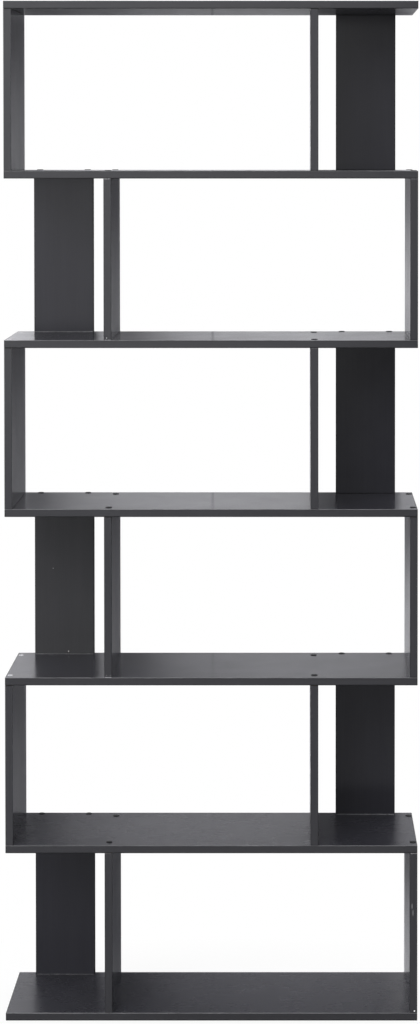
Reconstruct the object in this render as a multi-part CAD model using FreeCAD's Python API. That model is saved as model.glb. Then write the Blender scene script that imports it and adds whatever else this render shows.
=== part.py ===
"""A tall open bookcase of flat boards, zigzag in front view, held together by screws.

Seven horizontal boards run the full width. Between each two of them stands one tier: an end
panel under one end, a divider set in from the other end, and a narrow back panel behind the
open end. The next tier is the same set of boards, turned left for right.

The frame is in millimetres. X runs to the right as seen from the front, the front faces -Y,
and Z points up from the floor. The origin is on the floor under the middle of the bookcase.

Tiers are counted from 1 at the top. Levels are the horizontals, counted from 0 at the top, so
that a tier stands on the level of its own number and carries the level above it.
"""

import FreeCAD, Part
import math
import os

# Boards
BOARD_WIDTH = 800.0            # length of every horizontal
BOARD_DEPTH = 240.0            # front to back, of horizontals, end panels and dividers
BOARD_THICKNESS = 15.0         # melamine-faced chipboard
ARRIS_CHAMFER = 0.5            # broken arris along every banded edge

# Tiers
TIER_COUNT = 6
TIER_CLEAR_HEIGHT = 312.5      # free height between two horizontals
DIVIDER_INSET = 200.0          # from the tier's open end to the middle of its divider
BACK_PANEL_WIDTH = 120.0
BACK_PANEL_INSET = 35.0        # from the tier's open end to the back panel's outer edge

# Connector screws, through a horizontal into the end of an upright
SCREW_LENGTH = 50.0
SCREW_HEAD_DIAMETER = 10.0
SCREW_CORE_DIAMETER = 5.0      # inside the thread, which isn't drawn
SCREW_THREAD_DIAMETER = 7.0    # what the bore in the horizontal lets through
SCREW_POINT_LENGTH = 3.0
SCREW_CONE_ANGLE = 90.0        # included angle of the countersunk head
SCREW_HEAD_RECESS = 0.3        # below the face of the board
PANEL_SCREW_SPACING = 192.0    # along the depth of end panels and dividers
BACK_SCREW_SPACING = 96.0      # along the width of back panels

# Cover caps over the screws on top of a horizontal
CAP_DIAMETER = 13.0
CAP_HEIGHT = 1.2
CAP_BEVEL = 1.0                # how far the rim of the cap's top is set in
BARE_END_PANEL_TIERS = (3, 5)  # tiers whose end panel's screw heads have no caps

# Clearances
SCREW_CLEARANCE = 0.1          # round the head and the core
PILOT_SPARE_DEPTH = 2.0        # beyond the screw's point

# Small round parts repeat so often that each circle is drawn with this many flats.
FLATS = 10

TIER_PITCH = TIER_CLEAR_HEIGHT + BOARD_THICKNESS
HEAD_RADIUS = SCREW_HEAD_DIAMETER / 2.0
CORE_RADIUS = SCREW_CORE_DIAMETER / 2.0
THREAD_RADIUS = SCREW_THREAD_DIAMETER / 2.0
CONE_SLOPE = math.tan(math.radians(SCREW_CONE_ANGLE / 2.0))
ALONG_X = FreeCAD.Vector(1.0, 0.0, 0.0)
HALF_TURN = 180.0


def level_top(level):
    """Height of the top face of a horizontal."""
    return BOARD_THICKNESS + (TIER_COUNT - level) * TIER_PITCH


def level_underside(level):
    """Height of the bottom face of a horizontal."""
    return level_top(level) - BOARD_THICKNESS


def closed_side(tier):
    """-1 where the tier's end panel is on the left, 1 where it is on the right."""
    return -1.0 if tier % 2 == 1 else 1.0


def end_panel_middle(tier):
    """X of the middle of the end panel, which is flush with the ends of the horizontals."""
    return closed_side(tier) * (BOARD_WIDTH - BOARD_THICKNESS) / 2.0


def divider_middle(tier):
    """X of the middle of the divider."""
    return -closed_side(tier) * (BOARD_WIDTH / 2.0 - DIVIDER_INSET)


def back_panel_middle(tier):
    """X of the middle of the back panel."""
    return -closed_side(tier) * (BOARD_WIDTH / 2.0 - BACK_PANEL_INSET - BACK_PANEL_WIDTH / 2.0)


def back_panel_plane():
    """Y of the middle of the back panel, which is flush with the rear edges."""
    return (BOARD_DEPTH - BOARD_THICKNESS) / 2.0


def end_panel_screws(tier):
    """X and Y of the screws at either end of a tier's end panel."""
    return [(end_panel_middle(tier), y) for y in (-PANEL_SCREW_SPACING / 2.0, PANEL_SCREW_SPACING / 2.0)]


def divider_screws(tier):
    """X and Y of the screws at either end of a tier's divider."""
    return [(divider_middle(tier), y) for y in (-PANEL_SCREW_SPACING / 2.0, PANEL_SCREW_SPACING / 2.0)]


def back_panel_screws(tier):
    """X and Y of the screws at either end of a tier's back panel."""
    half = BACK_SCREW_SPACING / 2.0
    return [(back_panel_middle(tier) + x, back_panel_plane()) for x in (-half, half)]


def tier_screws(tier):
    """X and Y of all the screws at either end of a tier's uprights."""
    return end_panel_screws(tier) + divider_screws(tier) + back_panel_screws(tier)


def ring(radius, height):
    """Closed outline about Z with FLATS corners on a circle."""
    corners = []
    for step in range(FLATS):
        angle = 2.0 * math.pi * step / FLATS
        corners.append(FreeCAD.Vector(radius * math.cos(angle), radius * math.sin(angle), height))
    return Part.makePolygon(corners + corners[:1])


def flat_face(outline):
    """Plane face with straight edges between the corners of an outline."""
    corners = [vertex.Point for vertex in outline.OrderedVertexes]
    return Part.Face(Part.makePolygon(corners + corners[:1]))


def round_part(rings, point=None):
    """Solid through rings of (radius, height), closed by a flat end or by a point on the axis."""
    sections = [ring(radius, height) for radius, height in rings]
    if point is not None:
        sections.append(Part.Vertex(0.0, 0.0, point))
    hull = Part.makeLoft(sections, True, True)
    return Part.Solid(Part.Shell([flat_face(face.OuterWire) for face in hull.Faces]))


def placed(shape, x, y, z):
    """Copy of a shape moved by x, y and z."""
    copy = shape.copy()
    copy.translate(FreeCAD.Vector(x, y, z))
    return copy


def turned_over(shape):
    """Copy of a shape turned upside down about the X axis."""
    copy = shape.copy()
    copy.rotate(FreeCAD.Vector(), ALONG_X, HALF_TURN)
    return copy


def row_of(shape, places, z):
    """Compound of copies of a shape at each X and Y, all at one height."""
    return Part.makeCompound([placed(shape, x, y, z) for x, y in places])


def countersunk_bore():
    """Cutter for a screw's bore in a horizontal, whose face is at height 0 and body below it."""
    mouth = HEAD_RADIUS + SCREW_HEAD_RECESS * CONE_SLOPE + SCREW_CLEARANCE
    seat_depth = (mouth - THREAD_RADIUS) / CONE_SLOPE
    return round_part([(mouth, 0.0), (THREAD_RADIUS, -seat_depth), (THREAD_RADIUS, -BOARD_THICKNESS)])


def pilot_bore():
    """Cutter for a screw's bore in the end of an upright, which is at height 0 and body below it."""
    depth = SCREW_LENGTH + SCREW_HEAD_RECESS - BOARD_THICKNESS + PILOT_SPARE_DEPTH
    radius = CORE_RADIUS + SCREW_CLEARANCE
    return round_part([(radius, 0.0), (radius, -depth)])


def connector_screw():
    """Countersunk screw pointing down, seated in a board whose face is at height 0."""
    head_top = -SCREW_HEAD_RECESS
    head_bottom = head_top - (HEAD_RADIUS - CORE_RADIUS) / CONE_SLOPE
    point = head_top - SCREW_LENGTH
    shoulder = point + SCREW_POINT_LENGTH
    return round_part([(HEAD_RADIUS, head_top), (CORE_RADIUS, head_bottom), (CORE_RADIUS, shoulder)], point)


def cover_cap():
    """Flat cap with a bevelled rim, lying on a board whose face is at height 0."""
    radius = CAP_DIAMETER / 2.0
    return round_part([(radius, 0.0), (radius - CAP_BEVEL, CAP_HEIGHT)])


def standing_edges(box):
    """The edges of a box that run up and down."""
    return [edge for edge in box.Edges if edge.Vertexes[0].Z != edge.Vertexes[1].Z]


def horizontal(level):
    """Horizontal with bores for the tier that stands on it and for the tier that carries it."""
    corner = FreeCAD.Vector(-BOARD_WIDTH / 2.0, -BOARD_DEPTH / 2.0, level_underside(level))
    board = Part.makeBox(BOARD_WIDTH, BOARD_DEPTH, BOARD_THICKNESS, corner)
    board = board.makeChamfer(ARRIS_CHAMFER, board.Edges)
    if level < TIER_COUNT:
        board = board.cut(row_of(countersunk_bore(), tier_screws(level + 1), level_top(level)))
    if level > 0:
        from_beneath = turned_over(countersunk_bore())
        board = board.cut(row_of(from_beneath, tier_screws(level), level_underside(level)))
    return board


def upright(tier, across, along, middle_x, middle_y, screws):
    """Board standing in a tier, across by along in plan, with pilot bores in both of its ends."""
    foot, head = level_top(tier), level_underside(tier - 1)
    corner = FreeCAD.Vector(middle_x - across / 2.0, middle_y - along / 2.0, foot)
    board = Part.makeBox(across, along, head - foot, corner)
    board = board.makeChamfer(ARRIS_CHAMFER, standing_edges(board))
    bores = [row_of(pilot_bore(), screws, head), row_of(turned_over(pilot_bore()), screws, foot)]
    return board.cut(Part.makeCompound(bores))


def end_panel(tier):
    """Upright flush with the ends of the horizontals."""
    middle = end_panel_middle(tier)
    return upright(tier, BOARD_THICKNESS, BOARD_DEPTH, middle, 0.0, end_panel_screws(tier))


def divider(tier):
    """Upright set in from the tier's open end."""
    middle = divider_middle(tier)
    return upright(tier, BOARD_THICKNESS, BOARD_DEPTH, middle, 0.0, divider_screws(tier))


def back_panel(tier):
    """Narrow upright across the back of the tier's open end."""
    middle = back_panel_middle(tier)
    screws = back_panel_screws(tier)
    return upright(tier, BACK_PANEL_WIDTH, BOARD_THICKNESS, middle, back_panel_plane(), screws)


def screws_down(tier):
    """The screws from above into the tops of a tier's uprights."""
    return row_of(connector_screw(), tier_screws(tier), level_top(tier - 1))


def screws_up(tier):
    """The screws from beneath into the feet of a tier's uprights."""
    return row_of(turned_over(connector_screw()), tier_screws(tier), level_underside(tier))


def cover_caps(tier):
    """The caps over the screws into the tops of a tier's uprights."""
    places = divider_screws(tier) + back_panel_screws(tier)
    if tier not in BARE_END_PANEL_TIERS:
        places += end_panel_screws(tier)
    return row_of(cover_cap(), places, level_top(tier - 1))


def parts():
    """Name and shape of every part of the bookcase."""
    named = {"top_board": horizontal(0), "base_board": horizontal(TIER_COUNT)}
    for level in range(1, TIER_COUNT):
        named[f"shelf_{level}"] = horizontal(level)
    for tier in range(1, TIER_COUNT + 1):
        named[f"end_panel_{tier}"] = end_panel(tier)
        named[f"divider_{tier}"] = divider(tier)
        named[f"back_panel_{tier}"] = back_panel(tier)
        named[f"screws_down_{tier}"] = screws_down(tier)
        named[f"screws_up_{tier}"] = screws_up(tier)
        named[f"cover_caps_{tier}"] = cover_caps(tier)
    return named


def main():
    """Write one STEP file for each part."""
    os.makedirs("parts", exist_ok=True)
    for name, shape in parts().items():
        shape.exportStep(f"parts/{name}.step")


main()
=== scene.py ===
"""Looks of a tall zigzag bookcase: banded boards, connector screws and cover caps in a plain studio.

Everything is in metres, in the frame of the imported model: X to the right, the front faces -Y, Z up
from the floor. Tiers are counted from 1 at the top, levels (the horizontals) from 0 at the top.
"""

import logging
import math
from abc import ABC, abstractmethod
from collections.abc import Iterable
from dataclasses import dataclass, field, replace
from enum import Enum

import bmesh
import bpy
from mathutils import Matrix, Vector


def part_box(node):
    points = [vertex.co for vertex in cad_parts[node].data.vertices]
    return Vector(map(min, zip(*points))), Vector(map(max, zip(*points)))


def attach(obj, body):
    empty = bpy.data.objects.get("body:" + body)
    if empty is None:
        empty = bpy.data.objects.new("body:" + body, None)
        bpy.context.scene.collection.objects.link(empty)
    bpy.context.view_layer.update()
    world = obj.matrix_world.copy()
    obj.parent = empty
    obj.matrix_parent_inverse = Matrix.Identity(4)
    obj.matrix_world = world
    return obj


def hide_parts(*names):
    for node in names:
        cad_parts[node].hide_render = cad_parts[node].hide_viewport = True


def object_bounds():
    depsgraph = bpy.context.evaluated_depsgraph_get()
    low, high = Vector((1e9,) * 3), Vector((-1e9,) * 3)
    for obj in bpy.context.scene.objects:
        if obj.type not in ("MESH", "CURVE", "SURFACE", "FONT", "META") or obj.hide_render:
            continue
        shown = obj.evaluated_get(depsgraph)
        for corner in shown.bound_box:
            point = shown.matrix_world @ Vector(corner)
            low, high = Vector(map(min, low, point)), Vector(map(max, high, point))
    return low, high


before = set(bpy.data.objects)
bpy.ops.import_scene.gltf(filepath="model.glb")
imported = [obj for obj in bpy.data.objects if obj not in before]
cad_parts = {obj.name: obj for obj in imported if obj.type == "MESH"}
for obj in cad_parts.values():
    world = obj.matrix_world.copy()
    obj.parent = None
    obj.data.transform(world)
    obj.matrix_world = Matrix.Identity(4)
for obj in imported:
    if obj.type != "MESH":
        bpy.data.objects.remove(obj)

CAD_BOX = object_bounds()
BODY = "root"
TIERS = range(1, 7)
BASE_LEVEL = 6
LEVELS = range(BASE_LEVEL + 1)
MM = 0.001
Pair = tuple[float, float]
Triple = tuple[float, float, float]
Colour = tuple[float, float, float, float]
Ramp = tuple[float, float, float, float]
Socket = bpy.types.NodeSocket
Material = bpy.types.Material
Mesh = bpy.types.Mesh
Piece = bpy.types.Object
BMesh = bmesh.types.BMesh
PLAIN = (1.0, 1.0, 1.0)
WHITE = (1.0, 1.0, 1.0, 1.0)
# Most of a noise lies between these
MIDRANGE = (0.3, 0.7)
UPSIDE_DOWN = Matrix.Rotation(math.pi, 4, "X")

log = logging.getLogger("bookcase")


# Small helpers


class Grain(Enum):
    """The direction in which a board's embossed grain runs."""

    ACROSS = 0
    DEEP = 1
    UPRIGHT = 2


class Zone(Enum):
    """The zones of a board's skin, in the order of its material slots."""

    FACE = 0
    LONG_BAND = 1
    END_BAND = 2
    GLUE_LINE = 3
    FRONT_ARRIS = 4
    SAWN = 5
    FRAYED_AND_LIT = 6
    SPLINTERED_AND_LIT = 7


class Foil(Enum):
    """The state of the foil on a board's faces."""

    NEW = 0
    RUBBED = 1
    DULL = 2
    # A face painted lighter and warmer to stand for the light that falls on it
    PAINTED_LIGHTER = 3


class Wear(Enum):
    """How far the foil is broken along an upright's head; along a foot it picks a painted highlight, and on a
    front arris how bright its painted highlight is.
    """

    SOUND = Zone.GLUE_LINE
    FRAYED_AND_LIT = Zone.FRAYED_AND_LIT
    SPLINTERED_AND_LIT = Zone.SPLINTERED_AND_LIT


def grey(level: float, blue: float = 0.0) -> Colour:
    """Colour of a grey written in the 0 to 255 steps of a screen.

    Args:
        level: brightness of red and green.
        blue: how many steps blue lies above them.

    Returns:
        The linear colour, opaque.
    """
    linear = [((step / 255.0 + 0.055) / 1.055) ** 2.4 for step in (level, level, level + blue)]
    return (linear[0], linear[1], linear[2], 1.0)


@dataclass(frozen=True)
class Noise:
    """A soft noise between 0 and 1: its fineness, its finer layers, their strength and its stretch."""

    scale: float
    detail: float = 3.0
    roughness: float = 0.5
    stretch: Triple = PLAIN


@dataclass
class Sheet:
    """The node tree of a material or of the world while it is drawn up."""

    owner: Material | bpy.types.World

    @classmethod
    def blank(cls, name: str) -> "Sheet":
        """Start an empty material.

        Args:
            name: the material's name.

        Returns:
            The sheet of the new material.
        """
        material = bpy.data.materials.new(name)
        material.use_nodes = True
        material.node_tree.nodes.clear()
        return cls(material)

    def node(self, kind: str, inputs: dict[str | int, object], **settings: object) -> bpy.types.Node:
        """Add a node and feed it.

        Args:
            kind: Blender's name of the node's type, without its ShaderNode prefix.
            inputs: a value, or another node's socket, for each input that isn't left as it comes.
            settings: properties of the node.

        Returns:
            The new node.
        """
        made = self.owner.node_tree.nodes.new("ShaderNode" + kind)
        for name, value in settings.items():
            setattr(made, name, value)
        for name, value in inputs.items():
            if isinstance(value, Socket):
                self.owner.node_tree.links.new(value, made.inputs[name])
            else:
                made.inputs[name].default_value = value
        return made

    def place(self, scale: Triple = PLAIN) -> Socket:
        """Object coordinates, scaled.

        Args:
            scale: factors along X, Y and Z.

        Returns:
            The vector's socket.
        """
        here = self.node("TexCoord", {}).outputs["Object"]
        return self.node("Mapping", {"Vector": here, "Scale": scale}).outputs["Vector"]

    def spot(self) -> tuple[Socket, Socket, Socket]:
        """X, Y and Z of the object coordinates."""
        parts = self.node("SeparateXYZ", {"Vector": self.place()}).outputs
        return parts["X"], parts["Y"], parts["Z"]

    def length(self, vector: Socket) -> Socket:
        """Length of a vector."""
        return self.node("VectorMath", {0: vector}, operation="LENGTH").outputs["Value"]

    def noise(self, noise: Noise) -> Socket:
        """Draw a noise.

        Args:
            noise: the noise.

        Returns:
            The value's socket.
        """
        inputs = {"Vector": self.place(noise.stretch), "Scale": noise.scale, "Detail": noise.detail,
                  "Roughness": noise.roughness}
        return self.node("TexNoise", inputs).outputs["Fac"]

    def cells(self, scale: float, stretch: Triple = PLAIN) -> tuple[Socket, Socket]:
        """Scattered cells.

        Args:
            scale: how small the cells are.
            stretch: factors along X, Y and Z.

        Returns:
            How far a point is from its cell's middle, and the cell's own number between 0 and 1.
        """
        inputs = {"Vector": self.place(stretch), "Scale": scale}
        made = self.node("TexVoronoi", inputs, feature="F1", distance="EUCLIDEAN")
        own = self.node("SeparateColor", {"Color": made.outputs["Color"]})
        return made.outputs["Distance"], own.outputs["Red"]

    def fit(self, source: Socket, low: float, high: float, to_low: float = 0.0,
            to_high: float = 1.0) -> Socket:
        """Map a range to another, clamped.

        Args:
            source: the value to map.
            low: value that becomes to_low.
            high: value that becomes to_high.
            to_low: the result at low.
            to_high: the result at high.

        Returns:
            The mapped value's socket.
        """
        inputs = {"Value": source, "From Min": low, "From Max": high, "To Min": to_low, "To Max": to_high}
        return self.node("MapRange", inputs, clamp=True).outputs["Result"]

    def sum_of(self, first: Socket, second: Socket, operation: str = "ADD") -> Socket:
        """Combine two values.

        Args:
            first: the first value.
            second: the second value.
            operation: name of the sum.

        Returns:
            The result's socket.
        """
        return self.node("Math", {0: first, 1: second}, operation=operation).outputs["Value"]

    def blend(self, share: Socket, first: Socket | Colour, second: Socket | Colour) -> Socket:
        """Mix two colours.

        Args:
            share: how much of the second colour shows.
            first: the first colour or its socket.
            second: the second colour or its socket.

        Returns:
            The mixed colour's socket.
        """
        # Inputs 6 and 7 and output 2 are the node's colours, the others are for numbers and vectors
        return self.node("Mix", {"Factor": share, 6: first, 7: second}, data_type="RGBA").outputs[2]

    def bump(self, height: Socket, depth: float, strength: float = 1.0) -> Socket:
        """Relief from a height.

        Args:
            height: the height between 0 and 1.
            depth: what a height of 1 stands for, in metres.
            strength: how much of it shows.

        Returns:
            The normal's socket.
        """
        inputs = {"Height": height, "Distance": depth, "Strength": strength}
        return self.node("Bump", inputs).outputs["Normal"]

    def surface(self, colour: Socket, roughness: Socket, normal: Socket, metallic: float = 0.0,
                ior: float = 1.5) -> Material:
        """Close the sheet with its shader.

        Args:
            colour: the base colour.
            roughness: the roughness.
            normal: the relief.
            metallic: 1 for bare metal.
            ior: the index of refraction, which sets the gloss.

        Returns:
            The finished material.
        """
        inputs = {"Base Color": colour, "Roughness": roughness, "Normal": normal, "Metallic": metallic,
                  "IOR": ior}
        return self.close(self.node("BsdfPrincipled", inputs).outputs["BSDF"])

    def plain(self, kind: str, colour: Socket | Colour) -> Socket:
        """A simple shader of one colour.

        Args:
            kind: Blender's name of the shader, without its ShaderNode prefix.
            colour: its colour.

        Returns:
            The shader's socket.
        """
        return self.node(kind, {"Color": colour}).outputs[0]

    def mix(self, share: Socket, first: Socket, second: Socket) -> Socket:
        """Mix two shaders.

        Args:
            share: how much of the second shader shows.
            first: the first shader.
            second: the second shader.

        Returns:
            The mixed shader's socket.
        """
        return self.node("MixShader", {0: share, 1: first, 2: second}).outputs["Shader"]

    def close(self, shader: Socket, output: str = "OutputMaterial") -> Material | bpy.types.World:
        """Put a shader on the sheet's owner.

        Args:
            shader: the shader's socket.
            output: OutputMaterial or OutputWorld.

        Returns:
            The finished owner.
        """
        self.node(output, {"Surface": shader})
        return self.owner


# Finishes


@dataclass(frozen=True)
class Finish(ABC):
    """A finish that can be put on a piece."""

    @abstractmethod
    def material(self) -> Material:
        """Draw the finish up as a material."""


@dataclass(frozen=True)
class Mark:
    """A small mark where the foil is chipped, scratched or bruised."""

    middle: Triple
    reach: Triple
    level: float
    core: float = 0.6
    blue: float = 2.0

    def blend_in(self, sheet: Sheet, colour: Socket) -> Socket:
        """Lay the mark over a colour.

        Args:
            sheet: the material's sheet.
            colour: the colour without the mark.

        Returns:
            The colour with the mark.
        """
        inputs = {"Vector": sheet.place(), "Location": self.middle, "Scale": self.reach}
        centred = sheet.node("Mapping", inputs, vector_type="TEXTURE")
        inside = sheet.fit(sheet.length(centred.outputs["Vector"]), self.core, 1.0, 1.0, 0.0)
        return sheet.blend(inside, colour, grey(self.level, self.blue))


@dataclass(frozen=True)
class EmbossedFoil(Finish):
    """Black foil with fine embossed grain, on the faces and bands of the boards."""

    name: str
    grain: Grain
    marks: tuple[Mark, ...] = ()
    dark: Colour = grey(31.0, 6.0)
    light: Colour = grey(43.0, 6.0)
    roughness: Pair = (0.15, 0.20)
    pores: Noise = Noise(1.0, 2.0, 0.55, (9.0, 620.0, 620.0))
    figure: Noise = Noise(1.0, 3.0, 0.5, (2.2, 60.0, 60.0))
    clouds: Noise = Noise(13.0, 4.0, 0.55)
    pore_share: Ramp = (0.3, 0.75, 0.25, 0.5)
    figure_share: Ramp = (0.1, 0.9, 0.1, 0.45)
    pore_roughness: Ramp = (0.35, 0.7, 0.015, 0.0)
    pore_depth: float = 0.00004
    pore_strength: float = 0.6
    speck_cells: float = 21.0
    speck_edge: Ramp = (0.008, 0.014, 1.0, 0.0)
    speck_share: Ramp = (0.86, 0.9, 0.0, 0.55)
    speck: Colour = grey(165.0, 2.0)

    def along_grain(self, noise: Noise) -> Noise:
        """Turn a noise into the direction of the grain.

        Args:
            noise: the noise, stretched along X.

        Returns:
            The same noise, stretched along the grain.
        """
        along, across, _ = noise.stretch
        factors = [across, across, across]
        factors[self.grain.value] = along
        return replace(noise, stretch=(factors[0], factors[1], factors[2]))

    def material(self) -> Material:
        """Draw up the foil: pores, drifting figure, handled gloss and dust.

        Returns:
            The material.
        """
        sheet = Sheet.blank(self.name)
        pores, figure = (sheet.noise(self.along_grain(noise)) for noise in (self.pores, self.figure))
        grain = sheet.sum_of(sheet.fit(pores, *self.pore_share), sheet.fit(figure, *self.figure_share))
        colour = sheet.blend(grain, self.dark, self.light)
        distance, own = sheet.cells(self.speck_cells)
        specks = sheet.sum_of(sheet.fit(distance, *self.speck_edge), sheet.fit(own, *self.speck_share),
                              "MULTIPLY")
        colour = sheet.blend(specks, colour, self.speck)
        for mark in self.marks:
            colour = mark.blend_in(sheet, colour)
        roughness = sheet.sum_of(sheet.fit(sheet.noise(self.clouds), *MIDRANGE, *self.roughness),
                                 sheet.fit(pores, *self.pore_roughness))
        return sheet.surface(colour, roughness, sheet.bump(grain, self.pore_depth, self.pore_strength))


@dataclass(frozen=True)
class Mottled(Finish):
    """Two colours in soft patches over a fine relief."""

    name: str
    dark: Colour
    light: Colour
    patches: Noise
    roughness: Pair
    relief: Noise
    depth: float = 0.00002
    light_share: Ramp = (0.0, 1.0, 0.0, 1.0)
    metallic: float = 0.0
    ior: float = 1.5

    def material(self) -> Material:
        """Draw up the patches and the relief.

        Returns:
            The material.
        """
        sheet = Sheet.blank(self.name)
        patches = sheet.noise(self.patches)
        colour = sheet.blend(sheet.fit(patches, *self.light_share), self.dark, self.light)
        return sheet.surface(colour, sheet.fit(patches, *MIDRANGE, *self.roughness),
                             sheet.bump(sheet.noise(self.relief), self.depth), self.metallic, self.ior)


@dataclass(frozen=True)
class GlueLine(Mottled):
    """The dark line of glue where a band or a cut edge of the foil ends, greyer where it was rubbed."""

    name: str = "glue_line"
    dark: Colour = grey(14.0, 2.0)
    light: Colour = grey(34.0, 2.0)
    patches: Noise = Noise(40.0, 5.0, 0.65)
    roughness: Pair = (0.45, 0.35)
    relief: Noise = Noise(900.0, 2.0, 0.6)
    light_share: Ramp = (0.45, 0.75, 0.0, 1.0)
    ior: float = 1.35


@dataclass(frozen=True)
class ZincPlate(Mottled):
    """Bright zinc-plated steel of the connector screws, with turned marks and dull patches."""

    name: str = "zinc_plate"
    dark: Colour = (0.86, 0.86, 0.88, 1.0)
    light: Colour = (0.96, 0.96, 0.97, 1.0)
    patches: Noise = Noise(260.0, 3.0, 0.6)
    roughness: Pair = (0.18, 0.32)
    relief: Noise = Noise(900.0, 2.0, 0.5, (1.0, 1.0, 6.0))
    metallic: float = 1.0


@dataclass(frozen=True)
class CapPlastic(Mottled):
    """Moulded black plastic of the cover caps, with a faint orange-peel skin."""

    name: str = "cap_plastic"
    dark: Colour = grey(5.0, 1.0)
    light: Colour = grey(11.0, 1.0)
    patches: Noise = Noise(90.0, 2.0)
    roughness: Pair = (0.5, 0.6)
    relief: Noise = Noise(1500.0, 2.0)
    ior: float = 1.35


@dataclass(frozen=True)
class HighlightedArris(Finish):
    """The front arris on top of a horizontal, with a painted highlight along it that is paler where scrapes
    and knocks wore it.
    """

    name: str
    # Both colours are painted highlight: the first along the whole arris, the second paler where scrapes wore
    # it
    sound: Colour
    paler_highlight_and_scrapes: Colour
    scrapes: Noise = Noise(14.0, 5.0, 0.65)
    scraped_share: Ramp = (0.35, 0.65, 0.1, 0.75)
    roughness: Pair = (0.32, 0.48)
    knocks: Noise = Noise(210.0, 2.0, 0.6)
    knocked_share: Ramp = (0.6, 0.72, 0.0, 0.6)
    knock_depth: float = 0.00005

    def material(self) -> Material:
        """Draw up the arris: its painted highlight, paler where scrapes or knocks wore it.

        Returns:
            The material.
        """
        sheet = Sheet.blank(self.name)
        scrapes, knocks = sheet.noise(self.scrapes), sheet.noise(self.knocks)
        # Share of the paler painted highlight, laid where scrapes and knocks wore the arris
        wear_and_highlight = sheet.sum_of(sheet.fit(scrapes, *self.scraped_share), sheet.fit(knocks, *self.knocked_share))
        return sheet.surface(sheet.blend(wear_and_highlight, self.sound, self.paler_highlight_and_scrapes),
                             sheet.fit(scrapes, *MIDRANGE, *self.roughness),
                             sheet.bump(knocks, self.knock_depth))


@dataclass(frozen=True)
class BrokenFoil(Finish):
    """Pale splinters along an upright's sawn end: at its head the foil's edge broken along the saw cut, at
    its foot a painted highlight along the joint.
    """

    name: str
    density: float
    sound: Colour = grey(30.0, 3.0)
    splinter: Colour = grey(215.0, 4.0)
    runs: Noise = Noise(22.0, 3.0, 0.6)
    run_range: Pair = (0.3, 0.6)
    sparse: float = 0.5
    splinters: Noise = Noise(420.0, 3.0, 0.6, (1.0, 1.0, 0.1))
    splinter_range: Pair = (0.25, 0.6)
    roughness: Pair = (0.35, 0.6)
    splinter_depth: float = 0.0001

    def material(self) -> Material:
        """Draw up the splinters, closer together the denser they are.

        Returns:
            The material.
        """
        sheet = Sheet.blank(self.name)
        runs, splinters = sheet.noise(self.runs), sheet.noise(self.splinters)
        share = sheet.sum_of(sheet.fit(runs, *self.run_range, self.sparse * self.density, self.density),
                             sheet.fit(splinters, *self.splinter_range), "MULTIPLY")
        return sheet.surface(sheet.blend(share, self.sound, self.splinter),
                             sheet.fit(splinters, *MIDRANGE, *self.roughness),
                             sheet.bump(splinters, self.splinter_depth))


@dataclass(frozen=True)
class SawnChipboard(Finish):
    """Raw chipboard, in the bores and at the sawn ends of the uprights."""

    name: str = "sawn_chipboard"
    dark: Colour = (0.28, 0.17, 0.08, 1.0)
    light: Colour = (0.55, 0.40, 0.24, 1.0)
    chip_cells: float = 420.0
    chip_stretch: Triple = (1.0, 0.6, 1.4)
    chip_depth: float = 0.0004
    fibre: Noise = Noise(900.0, 3.0, 0.6)
    roughness: Pair = (0.75, 0.95)

    def material(self) -> Material:
        """Draw up pressed wood chips of several browns.

        Returns:
            The material.
        """
        sheet = Sheet.blank(self.name)
        relief, own = sheet.cells(self.chip_cells, self.chip_stretch)
        return sheet.surface(sheet.blend(own, self.dark, self.light),
                             sheet.fit(sheet.noise(self.fibre), *MIDRANGE, *self.roughness),
                             sheet.bump(relief, self.chip_depth))


PANEL_MARKS = (
    Mark((-0.297, 0.105, 0.676), (0.0011, 0.004, 0.0011), 215.0),
    Mark((-0.328, 0.105, 0.845), (0.0008, 0.004, 0.0009), 190.0),
)
BAND_MARKS = (
    Mark((0.3945, -0.12, 0.0190), (0.0040, 0.004, 0.0036), 14.0),
    Mark((0.3945, -0.12, 0.0190), (0.0018, 0.004, 0.0018), 252.0),
    Mark((0.3897, -0.12, 0.2240), (0.0008, 0.003, 0.0062), 150.0),
    Mark((0.3915, -0.12, 0.2110), (0.0007, 0.003, 0.0072), 145.0),
    Mark((-0.2018, -0.12, 1.3295), (0.0040, 0.004, 0.0040), 22.0),
    Mark((-0.2018, -0.12, 1.3295), (0.0015, 0.004, 0.0015), 170.0),
    Mark((-0.2031, -0.12, 0.6744), (0.0013, 0.004, 0.0013), 105.0),
    Mark((-0.1955, -0.12, 0.6744), (0.0013, 0.004, 0.0013), 105.0),
)


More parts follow.
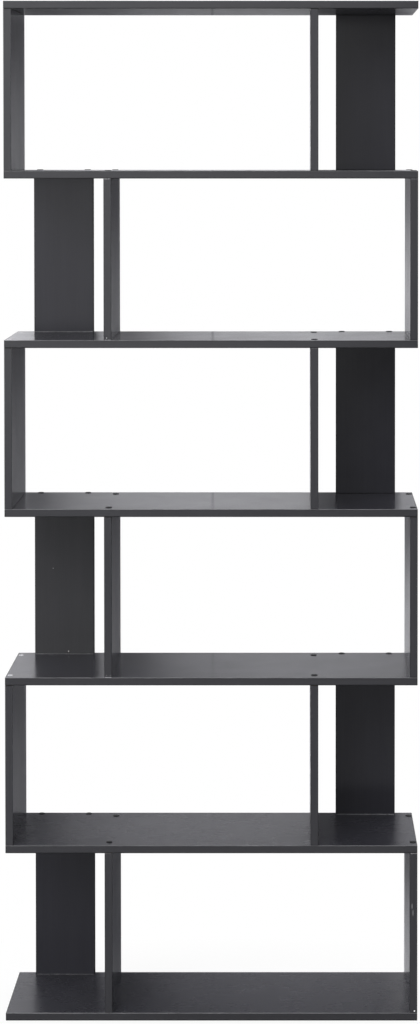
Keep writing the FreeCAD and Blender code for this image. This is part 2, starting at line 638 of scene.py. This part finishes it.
class Palette:
    """Every finish of the bookcase, each drawn up once."""

    def __init__(self) -> None:
        """Draw up all finishes."""
        self.faces = {
            grain: EmbossedFoil(f"face_foil_{grain.name.lower()}", grain).material() for grain in Grain
        }
        self.used_and_lit_faces = {
            Foil.RUBBED: EmbossedFoil("rubbed_foil", Grain.ACROSS, (), grey(34.0, 6.0), grey(46.0, 6.0),
                                      (0.19, 0.24)).material(),
            Foil.DULL: EmbossedFoil("dull_foil", Grain.ACROSS, (), grey(32.0, 6.0), grey(44.0, 6.0),
                                    (0.24, 0.29)).material(),
            # Back panel 4's face, painted lighter and warmer for the light that falls on it
            Foil.PAINTED_LIGHTER: EmbossedFoil("painted_lighter_foil", Grain.UPRIGHT, PANEL_MARKS, grey(44.0, 2.0),
                                     grey(56.0, 2.0)).material(),
        }
        self.bands = {
            grain: EmbossedFoil(f"edge_band_{grain.name.lower()}", grain,
                                BAND_MARKS if grain is Grain.UPRIGHT else (), grey(44.0, 3.0),
                                grey(56.0, 3.0), (0.18, 0.26)).material()
            for grain in Grain
        }
        self.glue_line = GlueLine().material()
        # Painted highlights on the front arris of the horizontals; the second, on the base board, is brighter
        self.front_arris = {
            Wear.SOUND: HighlightedArris("arris_painted_highlight", grey(84.0, 3.0), grey(130.0, 3.0)).material(),
            Wear.FRAYED_AND_LIT: HighlightedArris("arris_brighter_painted_highlight", grey(100.0, 3.0), grey(140.0, 3.0)).material(),
        }
        self.sawn = SawnChipboard().material()
        # Pale splinters: broken foil at the heads of uprights, a painted highlight along their feet
        self.frayed_and_lit = BrokenFoil("frayed_foil_and_foot_highlight", 0.4).material()
        self.splintered_and_lit = BrokenFoil("splintered_foil_and_foot_highlight", 0.9).material()
        self.zinc = ZincPlate().material()
        self.plastic = CapPlastic().material()

    def board(self, grain: Grain, front: Wear, foil: Foil) -> list[Material]:
        """The materials of a board in the order of Zone.

        Args:
            grain: the direction of the board's grain.
            front: the state of its front arris, which sets how bright its painted highlight is.
            foil: the state of the foil on its faces, or a face painted lighter for the light that falls on
                it.

        Returns:
            The eight materials.
        """
        face = self.used_and_lit_faces.get(foil, self.faces[grain])
        return [face, self.bands[grain], self.bands[Grain.DEEP], self.glue_line, self.front_arris[front],
                self.sawn, self.frayed_and_lit, self.splintered_and_lit]


# Making solids


WELD = 1e-7
BEVEL = {"profile": 0.5, "affect": "EDGES", "material": -1, "clamp_overlap": True}


def lathe(profile: Iterable[Pair], steps: int) -> BMesh:
    """Turn a profile about Z into a closed solid.

    Args:
        profile: radius and height of each corner, from one point on the axis to the other.
        steps: how many flats the full turn has.

    Returns:
        The solid's mesh.
    """
    bm = bmesh.new()
    line = [bm.verts.new((radius, 0.0, height)) for radius, height in profile]
    edges = [bm.edges.new(pair) for pair in zip(line, line[1:])]
    bmesh.ops.spin(bm, geom=line + edges, axis=(0, 0, 1), angle=math.tau, steps=steps, use_merge=True)
    bmesh.ops.remove_doubles(bm, verts=bm.verts, dist=WELD)
    bmesh.ops.recalc_face_normals(bm, faces=bm.faces)
    return bm


def copies_at(template: Mesh, places: Iterable[Matrix]) -> BMesh:
    """Copies of a small mesh, gathered in one.

    Args:
        template: the mesh to copy.
        places: where each copy goes.

    Returns:
        The gathered mesh.
    """
    bm = bmesh.new()
    for place in places:
        before = set(bm.verts)
        bm.from_mesh(template)
        new = [vert for vert in bm.verts if vert not in before]
        bmesh.ops.transform(bm, matrix=place, verts=new)
    return bm


def stored(name: str, bm: BMesh) -> Mesh:
    """Keep a mesh under a name and free its working copy.

    Args:
        name: the mesh's name.
        bm: the working copy.

    Returns:
        The kept mesh.
    """
    mesh = bpy.data.meshes.new(name)
    bm.to_mesh(mesh)
    bm.free()
    return mesh


def added(name: str, data: bpy.types.ID) -> Piece:
    """Add an object to the scene.

    Args:
        name: the object's name.
        data: its mesh, lamp or camera.

    Returns:
        The object, at the origin.
    """
    thing = bpy.data.objects.new(name, data)
    bpy.context.scene.collection.objects.link(thing)
    return thing


def shown(name: str, bm: BMesh, materials: list[Material]) -> Piece:
    """Turn a mesh into an object of the scene.

    Args:
        name: the piece's name.
        bm: its mesh, which is freed.
        materials: its material slots.

    Returns:
        The object, at the origin.
    """
    mesh = stored(name, bm)
    for material in materials:
        mesh.materials.append(material)
    return added(name, mesh)


def drop(piece: Piece) -> None:
    """Remove an object and its mesh.

    Args:
        piece: the object.
    """
    mesh = piece.data
    bpy.data.objects.remove(piece)
    bpy.data.meshes.remove(mesh)


def dress(piece: Piece, node: str) -> None:
    """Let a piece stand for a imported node.

    Args:
        piece: the piece.
        node: the node that it replaces.
    """
    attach(piece, BODY)
    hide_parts(node)


def cut_by(piece: Piece, cutter: Piece) -> None:
    """Take a cutter's volume out of a piece and drop the cutter.

    Args:
        piece: the object to cut.
        cutter: the object whose volume goes.
    """
    cut = piece.modifiers.new("bores", "BOOLEAN")
    cut.operation, cut.solver, cut.object = "DIFFERENCE", "EXACT", cutter
    cut.material_mode = "INDEX"
    bpy.context.view_layer.update()
    graph = bpy.context.evaluated_depsgraph_get()
    result = bpy.data.meshes.new_from_object(piece.evaluated_get(graph))
    piece.modifiers.clear()
    old, piece.data = piece.data, result
    result.name = piece.name
    bpy.data.meshes.remove(old)
    drop(cutter)


# Screws, caps and bores


PANEL_SCREW_SPACING = 0.192
BACK_SCREW_SPACING = 0.096
BARE_END_PANEL_TIERS = (3, 5)


def level_node(level: int) -> str:
    """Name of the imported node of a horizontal."""
    return {0: "top_board", BASE_LEVEL: "base_board"}.get(level, f"shelf_{level}")


@dataclass(frozen=True)
class ScrewPlan:
    """Where the screws of one tier stand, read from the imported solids."""

    tier: int

    def heads(self, from_above: bool) -> list[Matrix]:
        """Seat of each screw.

        Args:
            from_above: whether the screws go down into the uprights' tops or up into their feet.

        Returns:
            For each screw, the move that takes one that points down from the origin to its seat.
        """
        level = self.tier - 1 if from_above else self.tier
        low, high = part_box(level_node(level))
        height = high[2] if from_above else low[2]
        turn = Matrix() if from_above else UPSIDE_DOWN
        return [Matrix.Translation((x, y, height)) @ turn for x, y in self.spots()]

    def spots(self) -> list[Pair]:
        """Find the tier's six screws.

        Returns:
            X and Y of those of the end panel, the divider and the back panel.
        """
        spots = []
        for node in (f"end_panel_{self.tier}", f"divider_{self.tier}"):
            low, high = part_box(node)
            spots += [((low[0] + high[0]) / 2, side * PANEL_SCREW_SPACING / 2) for side in (-1, 1)]
        low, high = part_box(f"back_panel_{self.tier}")
        x, y = (low[0] + high[0]) / 2, (low[1] + high[1]) / 2
        return spots + [(x + side * BACK_SCREW_SPACING / 2, y) for side in (-1, 1)]


@dataclass(frozen=True)
class ConnectorScrew:
    """Countersunk connector screw with a hexagon socket and a coarse thread."""

    head_radius: float = 5.0 * MM
    head_recess: float = 0.02 * MM
    rim_width: float = 0.1 * MM
    rim_height: float = 0.05 * MM
    core_radius: float = 2.5 * MM
    shank_swell: float = 0.8 * MM
    shank_end: float = -13.0 * MM
    point: float = -50.3 * MM
    point_length: float = 3.0 * MM
    tip_radius: float = 1.2 * MM
    tip_length: float = 0.6 * MM
    thread_radius: float = 3.4 * MM
    thread_pitch: float = 3.2 * MM
    thread_half: float = 0.55 * MM
    thread_root: float = 0.1 * MM
    thread_start: float = 4.0 * MM
    thread_runout: float = 1.5 * MM
    thread_flats: int = 10
    socket_across: float = 4.0 * MM
    socket_depth: float = 2.2 * MM
    steps: int = 20
    small_face: float = 6e-6
    facing_up: float = 0.95

    def mesh(self) -> Mesh:
        """Model one screw that points down, its seat's face at height 0.

        Returns:
            The screw's mesh.
        """
        top = -self.head_recess
        rim = top - self.rim_height
        neck = rim - (self.head_radius - self.core_radius)
        shank = self.core_radius + self.shank_swell
        profile = [
            (0.0, top), (self.head_radius - self.rim_width, top), (self.head_radius, rim),
            (shank, neck + self.shank_swell), (shank, self.shank_end),
            (self.core_radius, self.shank_end - self.shank_swell),
            (self.core_radius, self.point + self.point_length),
            (self.tip_radius, self.point + self.tip_length), (0.0, self.point),
        ]
        screw = shown("screw_pattern", lathe(profile, self.steps), [])
        cut_by(screw, self.socket())
        bm = bmesh.new()
        bm.from_mesh(screw.data)
        self.thread(bm)
        for face in bm.faces:
            face.smooth = face.calc_area() < self.small_face and abs(face.normal.z) < self.facing_up
        drop(screw)
        return stored("screw_pattern_threaded", bm)

    def socket(self) -> Piece:
        """Cutter for the hexagon socket.

        Returns:
            The cutter.
        """
        bm = bmesh.new()
        corner = self.socket_across / math.sqrt(3.0)
        bmesh.ops.create_cone(bm, cap_ends=True, segments=6, radius1=corner, radius2=corner,
                              depth=2 * self.socket_depth)
        bmesh.ops.translate(bm, vec=(0, 0, -self.head_recess), verts=bm.verts)
        return shown("socket_cutter", bm, [])

    def thread(self, bm: BMesh) -> None:
        """Wind the coarse thread round the core.

        Args:
            bm: the screw's mesh.
        """
        bottom, top = self.point + self.thread_start, self.shank_end - self.thread_runout
        turns = (top - bottom) / self.thread_pitch
        root = self.core_radius - self.thread_root
        corners = ((root, bottom - self.thread_half), (self.thread_radius, bottom),
                   (root, bottom + self.thread_half))
        ridge = bm.faces.new([bm.verts.new((radius, 0.0, height)) for radius, height in corners])
        before = set(bm.faces)
        flats = round(turns * self.thread_flats)
        bmesh.ops.spin(bm, geom=[ridge], axis=(0, 0, 1), dvec=(0, 0, (top - bottom) / flats),
                       angle=math.tau * turns, steps=flats)
        wound = [face for face in bm.faces if face not in before or face == ridge]
        bmesh.ops.recalc_face_normals(bm, faces=wound)


@dataclass(frozen=True)
class CoverCap:
    """Thin round cap pressed over a screw head, its profile as radius and height in millimetres."""

    profile: tuple[Pair, ...] = (
        (0.0, 0.02), (6.3, 0.02), (6.4, 0.18), (6.28, 0.575), (5.9, 0.897), (5.1, 1.0695), (2.88, 1.13275),
        (0.0, 1.15),
    )
    steps: int = 28
    facing_down: float = -0.5

    def mesh(self) -> Mesh:
        """Model one cap that lies on a face at height 0.

        Returns:
            The cap's mesh.
        """
        bm = lathe([(radius * MM, height * MM) for radius, height in self.profile], self.steps)
        for face in bm.faces:
            face.smooth = face.normal.z > self.facing_down
        return stored("cap_pattern", bm)


@dataclass(frozen=True)
class Bore:
    """Cutters for the bores of a connector screw."""

    mouth: float = 5.12 * MM
    clear: float = 3.5 * MM
    pilot: float = 2.6 * MM
    board: float = 15.0 * MM
    pilot_depth: float = 37.3 * MM
    spare: float = 0.5 * MM
    steps: int = 16

    def mesh(self, pilot: bool) -> Mesh:
        """Model a cutter that goes down from a face at height 0.

        Args:
            pilot: whether it is the bore in the upright's end or the countersunk one in the horizontal.

        Returns:
            The cutter's mesh, its faces in the chipboard's slot.
        """
        if pilot:
            wall, bottom = [(self.pilot, self.spare), (self.pilot, -self.pilot_depth)], -self.pilot_depth
        else:
            bottom = -self.board - self.spare
            wall = [(self.mouth + self.spare, self.spare), (self.clear, self.clear - self.mouth),
                    (self.clear, bottom)]
        bm = lathe([(0.0, self.spare), *wall, (0.0, bottom)], self.steps)
        for face in bm.faces:
            face.material_index = Zone.SAWN.value
        return stored("bore_pattern", bm)


# Boards


ON_PLANE = 1e-6
ASLANT = 0.1
LINE_REACH = 2.5
ARRIS_STEPS = 3
# What single boards show of use or of how they were made, and painted light on some: a face painted lighter,
# a brighter painted highlight on the base board's front arris and painted highlights along feet
WIPED_FRONTS = ("end_panel_1", "end_panel_3", "end_panel_5")
# Back panel 4's face is painted lighter to stand for the light on it
USED_AND_LIT_FOILS = {
    "shelf_4": Foil.RUBBED, "shelf_5": Foil.DULL, "base_board": Foil.DULL, "back_panel_4": Foil.PAINTED_LIGHTER,
}
# The base board's front arris gets the brighter painted highlight
BRIGHTER_ARRIS_HIGHLIGHTS = {"base_board": Wear.FRAYED_AND_LIT}
# Uprights whose foot gets pale splinters, which are a painted highlight along the joint with the board
# beneath
PAINTED_FOOT_HIGHLIGHTS = {
    "back_panel_2": Wear.FRAYED_AND_LIT, "back_panel_4": Wear.FRAYED_AND_LIT, "back_panel_5": Wear.SPLINTERED_AND_LIT,
    "back_panel_6": Wear.FRAYED_AND_LIT, "divider_2": Wear.SPLINTERED_AND_LIT, "divider_4": Wear.SPLINTERED_AND_LIT,
}
WORN_HEADS = {
    "divider_2": Wear.SPLINTERED_AND_LIT, "divider_3": Wear.FRAYED_AND_LIT, "divider_6": Wear.FRAYED_AND_LIT,
    "end_panel_2": Wear.FRAYED_AND_LIT, "end_panel_6": Wear.SPLINTERED_AND_LIT,
}


@dataclass
class Board(ABC):
    """A melamine-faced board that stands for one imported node."""

    node: str
    palette: Palette
    bores: dict[bool, Mesh]
    arris: float = 0.8 * MM
    saw_arris: float = 0.3 * MM
    line: float = 0.7 * MM
    grain: Grain = Grain.ACROSS
    thin_axis: int = 2
    pilot: bool = False
    low: Vector = field(init=False)
    high: Vector = field(init=False)

    def __post_init__(self) -> None:
        """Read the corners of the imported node."""
        self.low, self.high = (Vector(corner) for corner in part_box(self.node))

    @abstractmethod
    def bore_places(self) -> list[Matrix]:
        """Where each of the board's bores goes in."""

    def zone(self, axis: int) -> Zone:
        """Zone of the faces that look along an axis.

        Args:
            axis: 0, 1 or 2 for X, Y or Z.

        Returns:
            The zone.
        """
        if axis == self.thin_axis:
            return Zone.FACE
        if axis == self.grain.value:
            return Zone.END_BAND if self.grain is Grain.ACROSS else Zone.SAWN
        return Zone.LONG_BAND

    def build(self) -> Piece:
        """Model the board and dress it.

        Returns:
            The board.
        """
        bm = bmesh.new()
        bmesh.ops.create_cube(bm, size=1.0)
        bmesh.ops.scale(bm, vec=self.high - self.low, verts=bm.verts)
        bmesh.ops.translate(bm, vec=(self.low + self.high) / 2, verts=bm.verts)
        for face in bm.faces:
            axis = max(range(3), key=lambda index: abs(face.normal[index]))
            face.material_index = self.zone(axis).value
        self.break_arrises(bm)
        self.draw_lines(bm)
        skin = self.palette.board(self.grain, BRIGHTER_ARRIS_HIGHLIGHTS.get(self.node, Wear.SOUND),
                                  USED_AND_LIT_FOILS.get(self.node, Foil.NEW))
        board = shown(f"{self.node}_board", bm, skin)
        cut_by(board, shown("bore_cutter", copies_at(self.bores[self.pilot], self.bore_places()), skin))
        dress(board, self.node)
        return board

    def break_arrises(self, bm: BMesh) -> None:
        """Round the banded arrises and ease the sawn ones.

        Args:
            bm: the board's mesh.
        """
        axis = self.grain.value
        banded_ends = self.grain is Grain.ACROSS
        edges = [edge for edge in bm.edges
                 if banded_ends or abs(edge.verts[0].co[axis] - edge.verts[1].co[axis]) > ON_PLANE]
        made = bmesh.ops.bevel(bm, geom=edges, offset=self.arris, segments=ARRIS_STEPS, **BEVEL)
        for face in made["faces"]:
            face.material_index = self.arris_zone(face.normal).value
            face.smooth = True
        if banded_ends:
            return
        ends = [edge for edge in bm.edges for level in (self.low[axis], self.high[axis])
                if all(abs(vert.co[axis] - level) < ON_PLANE for vert in edge.verts)]
        made = bmesh.ops.bevel(bm, geom=ends, offset=self.saw_arris, segments=1, **BEVEL)
        for face in made["faces"]:
            face.material_index = Zone.GLUE_LINE.value

    def arris_zone(self, normal: Vector) -> Zone:
        """Zone of a rounded arris.

        Args:
            normal: where the arris looks.

        Returns:
            The front arris on top of a horizontal, which carries a painted highlight, the dark line
            elsewhere.
        """
        on_top = normal.y < -ASLANT and normal.z > ASLANT and abs(normal.x) < ASLANT
        return Zone.FRONT_ARRIS if on_top else Zone.GLUE_LINE

    def draw_lines(self, bm: BMesh) -> None:
        """Draw a narrow line round every flat of the skin.

        Args:
            bm: the board's mesh.
        """
        flats = [face for face in bm.faces
                 if face.material_index <= Zone.END_BAND.value and not face.smooth]
        for flat in flats:
            made = bmesh.ops.inset_individual(bm, faces=[flat], thickness=self.line, use_even_offset=True)
            for face in made["faces"]:
                if face != flat:
                    zone = self.line_zone(Zone(flat.material_index), face.calc_center_median())
                    face.material_index = zone.value

    def line_zone(self, around: Zone, place: Vector) -> Zone:
        """Zone of one stretch of the line round a flat.

        Args:
            around: the zone of the flat.
            place: the middle of the stretch.

        Returns:
            The flat's own zone along a face's front, the dark line elsewhere.
        """
        at_front = place.y < self.low.y + LINE_REACH * self.line and self.thin_axis != 1
        return around if around is Zone.FACE and at_front else Zone.GLUE_LINE


@dataclass
class Horizontal(Board):
    """A full-width board: top board, shelf or base board."""

    level: int = 0

    def bore_places(self) -> list[Matrix]:
        """Find the countersunk bores for the tiers below and above.

        Returns:
            Where each goes in.
        """
        from_above = ScrewPlan(self.level + 1).heads(from_above=True) if self.level < BASE_LEVEL else []
        from_beneath = ScrewPlan(self.level).heads(from_above=False) if self.level > 0 else []
        return from_above + from_beneath


@dataclass
class Upright(Board):
    """A board that stands in a tier: end panel, divider or back panel."""

    grain: Grain = Grain.UPRIGHT
    pilot: bool = True
    tier: int = 1
    first_screw: int = 0

    def line_zone(self, around: Zone, place: Vector) -> Zone:
        """Zone of one stretch of the line round a flat.

        Args:
            around: the zone of the flat.
            place: the middle of the stretch.

        Returns:
            Glue, or pale splinters, along foot and head, the splinters at a foot standing for a painted
            highlight, and what every board has elsewhere.
        """
        reach = LINE_REACH * self.line
        at_foot, at_head = place.z < self.low.z + reach, place.z > self.high.z - reach
        if at_foot or at_head:
            # At a foot the pale splinters are a painted highlight, at a head broken foil
            wear_and_highlight = (PAINTED_FOOT_HIGHLIGHTS if at_foot else WORN_HEADS).get(self.node, Wear.SOUND)
            return wear_and_highlight.value if around is Zone.LONG_BAND or self.thin_axis == 1 else Zone.GLUE_LINE
        return around if around is Zone.LONG_BAND else super().line_zone(around, place)

    def arris_zone(self, normal: Vector) -> Zone:
        """Zone of a rounded arris.

        Args:
            normal: where the arris looks.

        Returns:
            The band's own foil along the front where the glue was wiped away, the dark line elsewhere.
        """
        wiped = self.node in WIPED_FRONTS and normal.y < -ASLANT
        return Zone.LONG_BAND if wiped else Zone.GLUE_LINE

    def bore_places(self) -> list[Matrix]:
        """Find the pilot bores in both ends.

        Returns:
            Where each goes in.
        """
        spots = ScrewPlan(self.tier).spots()[self.first_screw:self.first_screw + 2]
        places = [Matrix.Translation((x, y, self.high.z)) for x, y in spots]
        return places + [Matrix.Translation((x, y, self.low.z)) @ UPSIDE_DOWN for x, y in spots]


# Sub-assemblies


# Name, thin axis and first screw of each upright of a tier
UPRIGHTS = (("end_panel", 0, 0), ("divider", 0, 2), ("back_panel", 1, 4))


@dataclass
class Tier:
    """One tier: its three uprights, its screws and its caps."""

    number: int
    palette: Palette
    bores: dict[bool, Mesh]
    screw: Mesh
    cap: Mesh

    def uprights(self) -> list[Piece]:
        """Build end panel, divider and back panel.

        Returns:
            The three boards.
        """
        return [
            Upright(f"{name}_{self.number}", self.palette, self.bores, thin_axis=thin_axis,
                    tier=self.number, first_screw=first_screw).build()
            for name, thin_axis, first_screw in UPRIGHTS
        ]

    def fastenings(self) -> list[Piece]:
        """Build the screws from above and beneath, and the caps.

        Returns:
            The three rows.
        """
        plan, zinc, plastic = ScrewPlan(self.number), self.palette.zinc, self.palette.plastic
        seats = plan.heads(from_above=True)
        capped = seats[2:] if self.number in BARE_END_PANEL_TIERS else seats
        rows = (
            ("screws_down", "zinc", self.screw, seats, zinc, "zinc_plated_steel"),
            ("screws_up", "zinc", self.screw, plan.heads(from_above=False), zinc, "zinc_plated_steel"),
            ("cover_caps", "plastic", self.cap, capped, plastic, "black_cap_plastic"),
        )
        pieces = []
        for kind, ending, pattern, places, material, slot in rows:
            node = f"{kind}_{self.number}"
            pieces.append(shown(f"{node}_{ending}", copies_at(pattern, places), [material]))
            dress(pieces[-1], node)
        return pieces


@dataclass
class Bookcase:
    """The whole bookcase."""

    palette: Palette = field(default_factory=Palette)

    def build(self) -> list[Piece]:
        """Build horizontals and tiers from the top down.

        Returns:
            The pieces.
        """
        bores = {pilot: Bore().mesh(pilot) for pilot in (False, True)}
        screw, cap = ConnectorScrew().mesh(), CoverCap().mesh()
        pieces = [Horizontal(level_node(level), self.palette, bores, level=level).build() for level in LEVELS]
        for number in TIERS:
            tier = Tier(number, self.palette, bores, screw, cap)
            pieces += tier.uprights() + tier.fastenings()
        return pieces


# Studio


class Fixture(ABC):
    """One thing that the studio sets up round the object."""

    @abstractmethod
    def build(self) -> None:
        """Set it up."""


@dataclass(frozen=True)
class Softbox(Fixture):
    """A rectangular lamp."""

    name: str
    place: Triple
    size: Pair
    watts: float
    aim: Triple = (0.0, 0.0, 1.1)

    def build(self) -> None:
        """Hang the lamp and turn it to its aim."""
        lamp = bpy.data.lights.new(self.name, "AREA")
        lamp.shape, lamp.energy = "RECTANGLE", self.watts
        lamp.size, lamp.size_y = self.size
        stand = added(self.name, lamp)
        stand.location = self.place
        stand.rotation_euler = (Vector(self.aim) - Vector(self.place)).to_track_quat("-Z", "Y").to_euler()


BEHIND = (0.0, 0.3)


def white_share(sheet: Sheet) -> Socket:
    """How far a ray sees the white background.

    Args:
        sheet: the sheet of the floor or of the world.

    Returns:
        1 for what the camera sees and, behind the object, for what gloss and glass mirror.
    """
    rays = sheet.node("LightPath", {}).outputs
    mirrored = sheet.sum_of(rays["Is Glossy Ray"], rays["Is Transmission Ray"], "MAXIMUM")
    behind = sheet.fit(sheet.spot()[1], *BEHIND)
    return sheet.sum_of(rays["Is Camera Ray"], sheet.sum_of(mirrored, behind, "MULTIPLY"), "MAXIMUM")


@dataclass(frozen=True)
class PaleFloor(Fixture):
    """The floor: white to the eye, with the object's soft shadow round its foot, and dim as a bounce."""

    size: float = 40.0
    drop: float = 0.0005
    paint: Colour = (0.82, 0.82, 0.82, 1.0)
    bounce: Colour = (0.3, 0.3, 0.31, 1.0)
    shadow_stretch: Triple = (0.4, 1.0, 1.0)
    shadow_reach: Pair = (0.12, 0.4)
    shadow_white: float = 0.86

    def build(self) -> None:
        """Lay the floor."""
        bm = bmesh.new()
        bmesh.ops.create_grid(bm, x_segments=1, y_segments=1, size=self.size / 2)
        bmesh.ops.translate(bm, vec=(0, 0, -self.drop), verts=bm.verts)
        sheet = Sheet.blank("pale_floor")
        gap = sheet.length(sheet.place(self.shadow_stretch))
        white = sheet.mix(sheet.fit(gap, *self.shadow_reach, self.shadow_white, 1.0),
                          sheet.plain("BsdfDiffuse", self.paint), sheet.plain("Emission", WHITE))
        floor = sheet.close(sheet.mix(white_share(sheet), sheet.plain("BsdfDiffuse", self.bounce), white))
        shown("studio_floor", bm, [floor])


@dataclass(frozen=True)
class NearWall(Fixture):
    """The white wall close behind the boards, which only their gloss shows."""

    size: float = 12.0
    gap: float = 0.01
    paint: Colour = (0.90, 0.90, 0.93, 1.0)
    dim: Colour = (0.80, 0.80, 0.83, 1.0)
    dim_side: Pair = (0.2, 0.4)
    dim_height: Pair = (0.3, 0.6)
    shaded: Colour = (0.58, 0.58, 0.62, 1.0)
    shade_side: Pair = (0.34, 0.38)
    shade_height: Pair = (0.1, 0.4)
    shade_foot: Ramp = (0.01, 0.08, 0.55, 1.0)
    seam_at: float = -0.0052
    seam_half_width: float = 0.0025
    seam_colour: Colour = (0.1, 0.1, 0.11, 1.0)
    seam_fade: Ramp = (0.6, 1.25, 0.12, 0.35)

    def build(self) -> None:
        """Put up the wall."""
        bm = bmesh.new()
        bmesh.ops.create_grid(bm, x_segments=1, y_segments=1, size=self.size / 2)
        bmesh.ops.rotate(bm, matrix=Matrix.Rotation(math.pi / 2, 3, "X"), verts=bm.verts)
        bmesh.ops.translate(bm, vec=(0, CAD_BOX[1][1] + self.gap, self.size / 2), verts=bm.verts)
        sheet = Sheet.blank("white_wall")
        paint = sheet.close(sheet.plain("BsdfDiffuse", self.colour(sheet)))
        wall = shown("studio_wall", bm, [paint])
        wall.visible_camera = wall.visible_diffuse = wall.visible_transmission = wall.visible_shadow = False

    def colour(self, sheet: Sheet) -> Socket:
        """The wall's colour.

        Args:
            sheet: the wall's sheet.

        Returns:
            White, dimmer at the right end, shaded low in the middle, and with a faint upright seam.
        """
        across, _, height = sheet.spot()
        aside = sheet.node("Math", {0: across}, operation="ABSOLUTE").outputs["Value"]
        shade = sheet.sum_of(sheet.fit(height, *self.shade_height, 1.0, 0.0),
                             sheet.fit(aside, *self.shade_side, 1.0, 0.0), "MULTIPLY")
        shade = sheet.sum_of(shade, sheet.fit(height, *self.shade_foot), "MULTIPLY")
        at_end = sheet.sum_of(sheet.fit(across, *self.dim_side), sheet.fit(height, *self.dim_height),
                              "MULTIPLY")
        white = sheet.blend(shade, sheet.blend(at_end, self.paint, self.dim), self.shaded)
        inputs = {0: across, 1: self.seam_at, 2: self.seam_half_width}
        at_seam = sheet.node("Math", inputs, operation="COMPARE").outputs["Value"]
        seam = sheet.sum_of(at_seam, sheet.fit(height, *self.seam_fade), "MULTIPLY")
        return sheet.blend(seam, white, self.seam_colour)


@dataclass(frozen=True)
class Surroundings(Fixture):
    """The world: white to look at, and soft grey for light and for the gloss in front."""

    soft: Colour = (0.37, 0.37, 0.385, 1.0)

    def build(self) -> None:
        """Put the world round the object."""
        world = bpy.data.worlds.new("studio")
        bpy.context.scene.world = world
        world.use_nodes = True
        world.node_tree.nodes.clear()
        sheet = Sheet(world)
        soft, white = (sheet.plain("Background", colour) for colour in (self.soft, WHITE))
        sheet.close(sheet.mix(white_share(sheet), soft, white), "OutputWorld")


@dataclass(frozen=True)
class PhotographCamera(Fixture):
    """The camera, where the photograph was taken from."""

    place: Triple = (0.1621, -4.8835, 1.690)
    tilt: float = 1.359
    sensor_width: float = 36.0
    lens: float = 86.82
    shift: Pair = (-0.0829, -0.295)

    def build(self) -> None:
        """Set the camera up and make it the scene's."""
        lens = bpy.data.cameras.new("photograph_camera")
        lens.sensor_width, lens.lens = self.sensor_width, self.lens
        lens.shift_x, lens.shift_y = self.shift
        camera = added("photograph_camera", lens)
        camera.location = self.place
        camera.rotation_euler = (math.radians(90.0 - self.tilt), 0.0, 0.0)
        bpy.context.scene.camera = camera


@dataclass(frozen=True)
class Studio:
    """Pale floor, near wall, white surroundings, soft lamps and the camera."""

    fixtures: tuple[Fixture, ...] = (
        PaleFloor(),
        NearWall(),
        Surroundings(),
        Softbox("far_softbox", (-2.74, -5.89, 4.85), (3.2, 3.2), 175.0),
        Softbox("near_softbox", (-0.90, -4.24, 4.49), (3.0, 3.0), 80.0),
        Softbox("low_softbox", (-0.86, -4.07, 1.68), (2.4, 2.4), 12.0),
        Softbox("side_softbox", (-2.45, -1.71, 1.36), (1.8, 1.8), 40.0),
        Softbox("right_softbox", (1.82, -1.82, 4.16), (2.4, 2.4), 24.0),
        Softbox("flank_softbox", (3.4, 0.5, 1.7), (1.6, 3.2), 48.0),
        Softbox("rear_softbox", (0.8, 2.6, 4.0), (2.2, 1.8), 60.0, (0.0, 0.0, 1.0)),
        Softbox("low_rear_softbox", (-3.2, 3.4, 1.6), (1.6, 1.8), 90.0, (0.0, 0.0, 1.0)),
        PhotographCamera(),
    )

    def build(self) -> None:
        """Set everything up."""
        for fixture in self.fixtures:
            fixture.build()
        bpy.context.scene.view_settings.view_transform = "Standard"


def main() -> None:
    """Build the bookcase, then the studio."""
    logging.basicConfig(level=logging.INFO, format="%(message)s")
    for piece in Bookcase().build():
        log.info("%s: %d faces", piece.name, len(piece.data.polygons))
    Studio().build()


if __name__ == "__main__":
    main()
